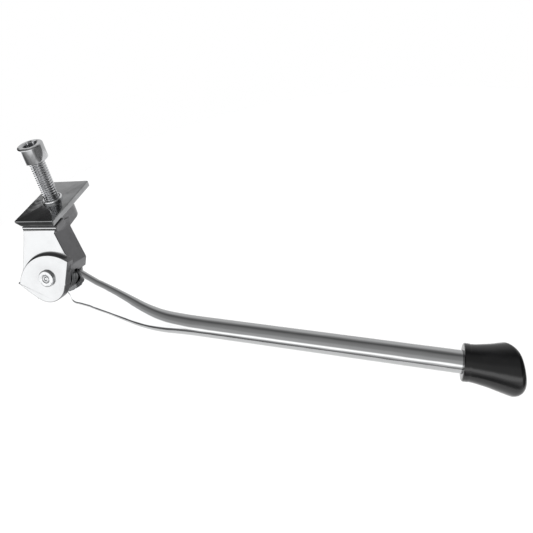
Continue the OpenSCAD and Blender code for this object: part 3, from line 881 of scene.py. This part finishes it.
class BuildStage(bpy.types.Operator):
    """Pale floor just under the lowered sole, studio surround, overhead light and camera"""
    bl_idname = "kickstand.stage"
    bl_label = "Stage"

    def execute(self, context):
        scene = context.scene
        look, sizes = scene.kickstand_look, scene.kickstand_sizes
        lever = np.array(SOLE["pos_m"]) - np.array(HINGE["pos_m"])
        along = lever @ INWARD
        reach = np.linalg.norm(lever - along * INWARD)
        lowest = HINGE["pos_m"][2] + along * INWARD[2] - reach * abs(DOWN[2])
        self.floor(look, sizes.floor_radius, lowest - FLOOR_GAP * MM)
        self.surround(scene)
        self.overhead(scene)
        self.camera(scene)
        scene.view_settings.view_transform = "Standard"
        return {"FINISHED"}

    def floor(self, look, radius, height):
        """A thin disc: its outline runs from the middle of the top over the rim to the middle of
        the underside."""
        axis = (np.array([*FLOOR_AT, height]), *SCREW_AXIS[1:])
        floor = skin("floor", turned([0, radius / MM, radius / MM, 0],
                                     [0, 0, -FLOOR_T, -FLOOR_T], axis, 128))
        material, graph, shader = surface("floor_paper", metallic=0.0)
        fibre = graph.noise(graph.stretched(), scale=40, detail=3, rough=0.5)
        paper = graph.blend(fibre, look.floor, [0.985 * c for c in look.floor])
        roughness = graph.span(fibre, 0, 1, to_low=0.85, to_high=0.95)
        connect(graph, shader, paper, roughness, graph.bump(fibre, 0.02, 0.5 * MM))
        floor.data.materials.append(material)

    def surround(self, scene):
        """Studio walls by direction: a white panel in front with a dark band below it, a dim
        ceiling with a dark gap behind it, and a grey wall at the back. Patches lie over them, each
        bounded by values of x, y, z or the walls' angle."""
        world = bpy.data.worlds.new("studio")
        world.use_nodes = True
        scene.world = world
        graph = Graph(world.node_tree)
        coords = graph.add("ShaderNodeTexCoord").outputs["Generated"]
        x, y, z = graph.add("ShaderNodeSeparateXYZ", {0: coords}).outputs
        lift = graph.math("ARCTAN2", z, graph.product(y, -1.0))
        ramp = graph.add("ShaderNodeValToRGB", {
            0: graph.span(lift, -math.pi, math.pi, kind="LINEAR")})
        brightest = max(value for _, value in WALLS)
        elements = ramp.color_ramp.elements
        while len(elements) < len(WALLS):
            elements.new(0.5)
        for element, (degrees, value) in zip(elements, WALLS):
            element.position = (degrees + 180) / 360
            element.color = (value / brightest,) * 3 + (1,)

        def edge(low, high):
            return graph.span(lift, math.radians(low), math.radians(high))

        value = graph.product(ramp.outputs[0], brightest)
        # a dark flag far back at the left, and the dim right side
        left = graph.product(graph.span(x, -0.46, -0.53), graph.span(y, 0.695, 0.665),
                             edge(110, 125))
        value = graph.less(value, graph.product(left, 0.86))
        value = graph.less(value, graph.product(graph.span(x, 0.60, 0.80), 0.72))
        # the white panel reaches lower at the left
        panel = graph.product(graph.span(x, -0.36, -0.45), edge(-13, -7), edge(16, 10))
        value = graph.math("MAXIMUM", value, graph.product(panel, brightest))
        # the dark band below the panel is darker at the left and lighter at the right
        band = graph.product(edge(-60, -40), edge(-9, -15))
        tilt = graph.product(band, graph.span(x, -0.6, 0.6, -0.6, 0.9, "LINEAR"))
        value = graph.product(value, graph.math("ADD", 1.0, tilt))
        # the left end is dark above level and bright below
        end = graph.span(x, -0.72, -0.92)
        value = graph.less(value, graph.product(end, 0.85))
        below = graph.product(end, graph.span(z, 0.05, -0.18), 2.0)
        value = graph.math("ADD", value, below)
        # what the camera sees directly is plain white
        seen = graph.add("ShaderNodeLightPath").outputs["Is Camera Ray"]
        shade = graph.blend(seen, value, (1.0, 1.0, 1.0))
        background = world.node_tree.nodes["Background"]
        world.node_tree.links.new(shade, background.inputs["Color"])

    def overhead(self, scene):
        """Broad soft light from above that metal doesn't mirror."""
        data = bpy.data.lights.new("sky_panel", "SUN")
        data.energy, data.angle = SUN_POWER, math.radians(SUN_SPREAD)
        light = bpy.data.objects.new("sky_panel", data)
        light.rotation_euler = (math.radians(SUN_LEAN), 0, 0)
        light.visible_glossy = False
        scene.collection.objects.link(light)

    def camera(self, scene):
        """Camera in front of the outboard side and above it, turned a little about its own axis."""
        azimuth, elevation, roll = (math.radians(degrees) for degrees in CAMERA_TURN)
        ahead = Vector((-math.sin(azimuth) * math.cos(elevation),
                        math.cos(azimuth) * math.cos(elevation), -math.sin(elevation)))
        level = Vector((math.cos(azimuth), math.sin(azimuth), 0))
        below = ahead.cross(level)
        right = math.cos(roll) * level + math.sin(roll) * below
        up = math.sin(roll) * level - math.cos(roll) * below
        data = bpy.data.cameras.new("camera")
        data.sensor_width, data.lens = CAMERA_SENSOR, CAMERA_SENSOR * CAMERA_FOCAL
        data.shift_x, data.shift_y = CAMERA_SHIFT
        data.clip_start, data.clip_end = 0.01, 20
        camera = bpy.data.objects.new("camera", data)
        turn = Matrix((right, up, -ahead)).transposed()
        camera.matrix_world = Matrix.Translation(CAMERA_AT) @ turn.to_4x4()
        scene.collection.objects.link(camera)
        scene.camera = camera


BUILDERS = (BuildBracket, BuildPlate, BuildScrew, BuildPivot, BuildDetent, BuildLeg, BuildFoot,
            DressSmallParts, BuildStage)


class KickstandPanel(bpy.types.Panel):
    """Lists the kickstand's pieces, sizes and colours"""
    bl_idname = "VIEW3D_PT_kickstand"
    bl_label = "Kickstand"
    bl_space_type = "VIEW_3D"
    bl_region_type = "UI"
    bl_category = "Kickstand"

    def draw(self, context):
        for builder in BUILDERS:
            self.layout.operator(builder.bl_idname)
        for group in (context.scene.kickstand_sizes, context.scene.kickstand_look):
            box = self.layout.box()
            for key in group.__annotations__:
                box.prop(group, key)


CLASSES = (KickstandLook, KickstandSizes, *BUILDERS, KickstandPanel)


def register():
    for cls in CLASSES:
        bpy.utils.register_class(cls)
    bpy.types.Scene.kickstand_look = PointerProperty(type=KickstandLook)
    bpy.types.Scene.kickstand_sizes = PointerProperty(type=KickstandSizes)


def unregister():
    del bpy.types.Scene.kickstand_sizes
    del bpy.types.Scene.kickstand_look
    for cls in reversed(CLASSES):
        bpy.utils.unregister_class(cls)


def main():
    register()
    for builder in BUILDERS:
        group, action = builder.bl_idname.split(".")
        getattr(getattr(bpy.ops, group), action)()


if __name__ == "__main__":
    main()
